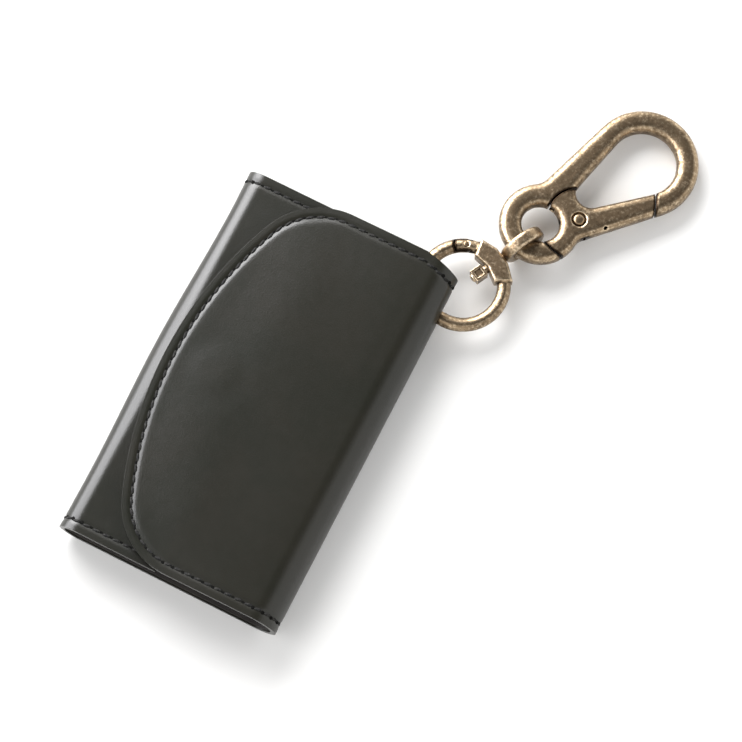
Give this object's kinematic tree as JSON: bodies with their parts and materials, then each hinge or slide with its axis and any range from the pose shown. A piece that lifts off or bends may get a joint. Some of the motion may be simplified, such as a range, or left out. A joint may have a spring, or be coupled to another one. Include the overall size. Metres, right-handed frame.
{
  "type": "key organiser",
  "caption": "Folding leather key case with a press-stud flap, inner key hooks, a corner gate ring, a swivel eye and a rocker-gate snap hook.",
  "frame": {"origin": "centre of the back panel's outer face, which the case lies on", "axes": "+Y along the case towards the ring and hook, +X across the case towards the flap's fold, +Z out of the back panel through the flap"},
  "size_m": [0.1048, 0.1686, 0.0141],
  "materials": {
    "leather": "smooth black leather, satin",
    "lining": "fine matt lining leather",
    "antique_brass": "antique brass plate, worn satin",
    "nickel": "bright nickel plate",
    "spring_steel": "plain spring steel"
  },
  "bodies": {
    "case_back": {"back_leather": "leather", "back_lining": "lining", "key_plate": "antique_brass", "plate_rivet_1": "antique_brass", "plate_rivet_2": "antique_brass", "hook_pivot_1": "antique_brass", "hook_pivot_2": "antique_brass", "hook_pivot_3": "antique_brass", "hook_pivot_4": "antique_brass"},
    "right_fold": {"right_fold_leather": "leather", "right_fold_lining": "lining"},
    "flap": {"flap_leather": "leather", "flap_lining": "lining", "snap_cap": "nickel", "snap_socket": "nickel", "loop_rivet": "antique_brass", "loop_tab": "leather", "ring_loop": "leather"},
    "left_fold": {"left_fold_leather": "leather", "left_fold_lining": "lining"},
    "front_panel": {"front_leather": "leather", "front_lining": "lining", "snap_stud": "nickel", "snap_post": "nickel"},
    "gate_ring": {"ring_body": "antique_brass", "ring_gate_pin": "antique_brass"},
    "ring_gate_arm": {"ring_gate": "antique_brass"},
    "swivel": {"swivel_eye": "antique_brass", "swivel_head": "antique_brass"},
    "snap_hook": {"hook_body": "antique_brass", "hook_gate_pin": "antique_brass"},
    "hook_rocker": {"hook_gate": "antique_brass", "hook_gate_spring": "spring_steel"},
    "key_hook_arm_1": {"key_hook_1": "nickel"},
    "key_latch_arm_1": {"key_latch_1": "spring_steel"},
    "key_hook_arm_2": {"key_hook_2": "nickel"},
    "key_latch_arm_2": {"key_latch_2": "spring_steel"},
    "key_hook_arm_3": {"key_hook_3": "nickel"},
    "key_latch_arm_3": {"key_latch_3": "spring_steel"},
    "key_hook_arm_4": {"key_hook_4": "nickel"},
    "key_latch_arm_4": {"key_latch_4": "spring_steel"}
  },
  "joints": [
    {"name": "flap_open_lower", "type": "hinge", "parent": "case_back", "child": "right_fold", "pos_m": [0.02819, 0, 0.00281], "axis": [0, 1, 0], "range_deg": [0, 90]},
    {"name": "flap_open_upper", "type": "hinge", "parent": "right_fold", "child": "flap", "pos_m": [0.02819, 0, 0.01129], "axis": [0, 1, 0], "range_deg": [0, 95]},
    {"name": "front_open_lower", "type": "hinge", "parent": "case_back", "child": "left_fold", "pos_m": [-0.02873, 0, 0.00227], "axis": [0, -1, 0], "range_deg": [0, 95]},
    {"name": "front_open_upper", "type": "hinge", "parent": "left_fold", "child": "front_panel", "pos_m": [-0.02873, 0, 0.00813], "axis": [0, -1, 0], "range_deg": [0, 95]},
    {"name": "ring_turn", "type": "hinge", "parent": "flap", "child": "gate_ring", "pos_m": [0.0322, 0.0506, 0.0059], "axis": [0, 0, 1], "range_deg": [-25, 10]},
    {"name": "ring_gate_open", "type": "hinge", "parent": "gate_ring", "child": "ring_gate_arm", "pos_m": [0.02823, 0.06043, 0.0059], "axis": [0, 0, 1], "range_deg": [0, 28], "stiffness_Nm_per_rad": 0.002, "springref_deg": -17.19},
    {"name": "swivel_spin", "type": "hinge", "parent": "gate_ring", "child": "swivel", "pos_m": [0.0322, 0.0506, 0.0059], "axis": [0.4695, 0.8829, 0], "continuous": true},
    {"name": "hook_swing", "type": "hinge", "parent": "swivel", "child": "snap_hook", "pos_m": [0.04269, 0.0743, 0.00555], "axis": [0.0344, 0.0546, 0.9979], "range_deg": [-40, 40]},
    {"name": "hook_gate_open", "type": "hinge", "parent": "snap_hook", "child": "hook_rocker", "pos_m": [0.05115, 0.07947, 0.00498], "axis": [0.0344, 0.0546, 0.9979], "range_deg": [0, 18], "stiffness_Nm_per_rad": 0.01, "springref_deg": -17.19},
    {"name": "key_hook_swing_1", "type": "hinge", "parent": "case_back", "child": "key_hook_arm_1", "pos_m": [-0.0205, 0.04, 0.00365], "axis": [0, 0, 1], "range_deg": [-5, 5]},
    {"name": "key_latch_open_1", "type": "hinge", "parent": "key_hook_arm_1", "child": "key_latch_arm_1", "pos_m": [-0.01895, 0.0303, 0.00365], "axis": [0, 0, -1], "range_deg": [0, 14], "stiffness_Nm_per_rad": 0.001, "springref_deg": -11.46},
    {"name": "key_hook_swing_2", "type": "hinge", "parent": "case_back", "child": "key_hook_arm_2", "pos_m": [-0.0095, 0.04, 0.00365], "axis": [0, 0, 1], "range_deg": [-5, 5]},
    {"name": "key_latch_open_2", "type": "hinge", "parent": "key_hook_arm_2", "child": "key_latch_arm_2", "pos_m": [-0.00795, 0.0303, 0.00365], "axis": [0, 0, -1], "range_deg": [0, 14], "stiffness_Nm_per_rad": 0.001, "springref_deg": -11.46},
    {"name": "key_hook_swing_3", "type": "hinge", "parent": "case_back", "child": "key_hook_arm_3", "pos_m": [0.0015, 0.04, 0.00365], "axis": [0, 0, 1], "range_deg": [-5, 5]},
    {"name": "key_latch_open_3", "type": "hinge", "parent": "key_hook_arm_3", "child": "key_latch_arm_3", "pos_m": [0.00305, 0.0303, 0.00365], "axis": [0, 0, -1], "range_deg": [0, 14], "stiffness_Nm_per_rad": 0.001, "springref_deg": -11.46},
    {"name": "key_hook_swing_4", "type": "hinge", "parent": "case_back", "child": "key_hook_arm_4", "pos_m": [0.0125, 0.04, 0.00365], "axis": [0, 0, 1], "range_deg": [-5, 5]},
    {"name": "key_latch_open_4", "type": "hinge", "parent": "key_hook_arm_4", "child": "key_latch_arm_4", "pos_m": [0.01405, 0.0303, 0.00365], "axis": [0, 0, -1], "range_deg": [0, 14], "stiffness_Nm_per_rad": 0.001, "springref_deg": -11.46}
  ],
  "couplings": [
    {"joint": "flap_open_upper", "follows": "flap_open_lower", "ratio": 1},
    {"joint": "front_open_lower", "follows": "flap_open_lower", "ratio": 1},
    {"joint": "front_open_upper", "follows": "flap_open_lower", "ratio": 1}
  ]
}
